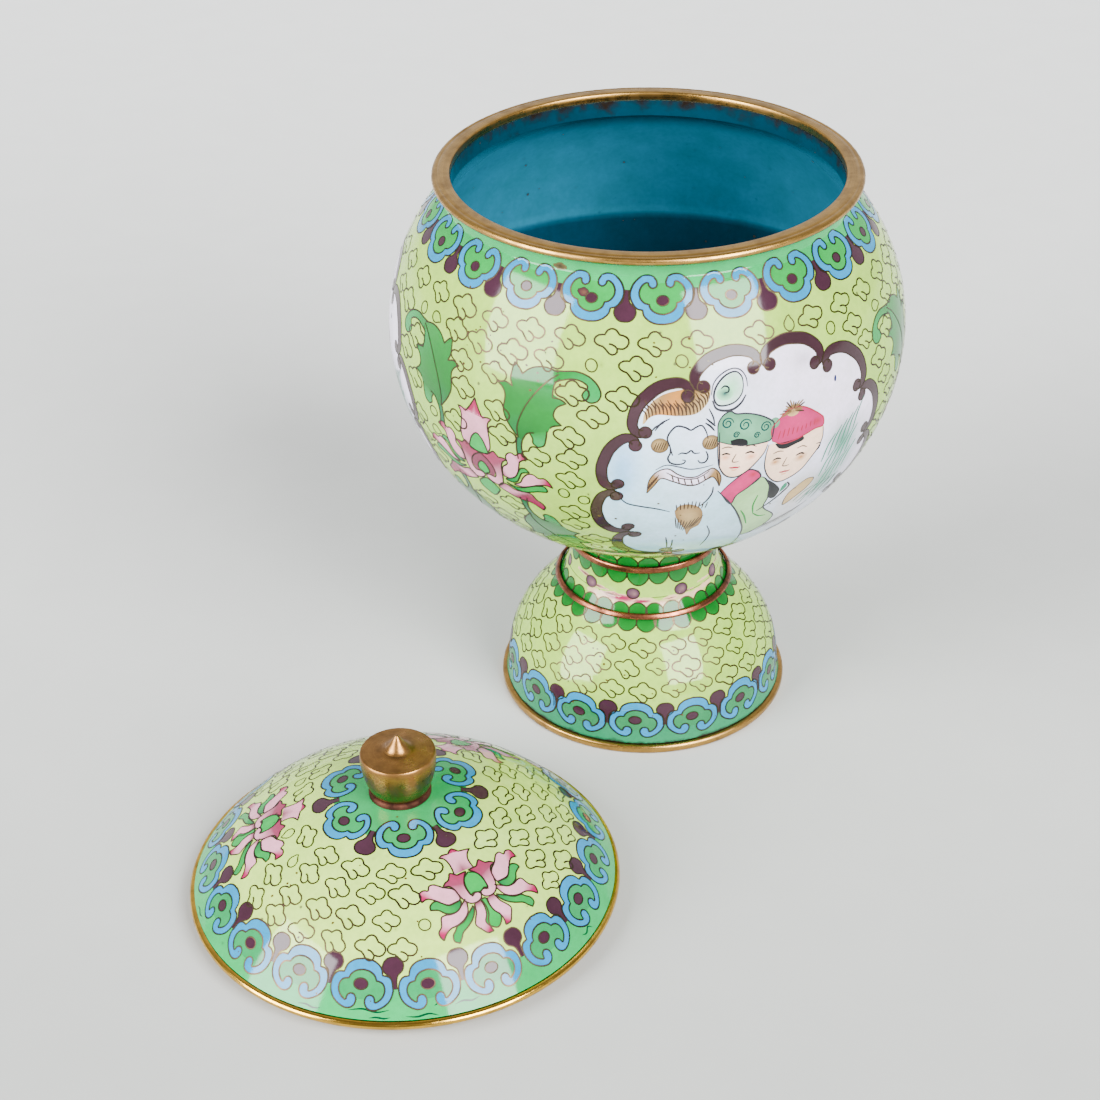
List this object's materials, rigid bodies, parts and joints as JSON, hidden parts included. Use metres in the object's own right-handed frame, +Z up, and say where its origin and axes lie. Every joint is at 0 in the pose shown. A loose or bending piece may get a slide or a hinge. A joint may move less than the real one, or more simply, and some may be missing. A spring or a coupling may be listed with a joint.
{
  "type": "cloisonne lidded jar",
  "caption": "Round enamelled bowl on a waisted domed foot, with gilt rings, and its domed lid with a turned brass knob lying beside it.",
  "frame": {"origin": "on the surface that jar and lid stand on, in the middle of the rectangle that the two cover together", "axes": "+Z up out of the jar's mouth, +X to the viewer's right, +Y away from the viewer, along the longer side of the pair; the lid lies towards -X and -Y from the jar"},
  "size_m": [0.163, 0.1952, 0.1402],
  "materials": {
    "bowl_enamel": "gloss",
    "foot_enamel": "gloss",
    "lid_enamel": "gloss",
    "gilt_brass": "satin",
    "knob_brass": "satin",
    "copper_wire": "satin"
  },
  "bodies": {
    "root": {"bowl": "bowl_enamel", "foot": "foot_enamel", "mouth_ring": "gilt_brass", "foot_ring": "gilt_brass", "upper_neck_wire": "copper_wire", "lower_neck_wire": "copper_wire", "lid_dome": "lid_enamel", "lid_ring": "gilt_brass", "lid_collar": "gilt_brass", "knob_seat": "copper_wire", "lid_knob": "knob_brass"}
  },
  "joints": []
}
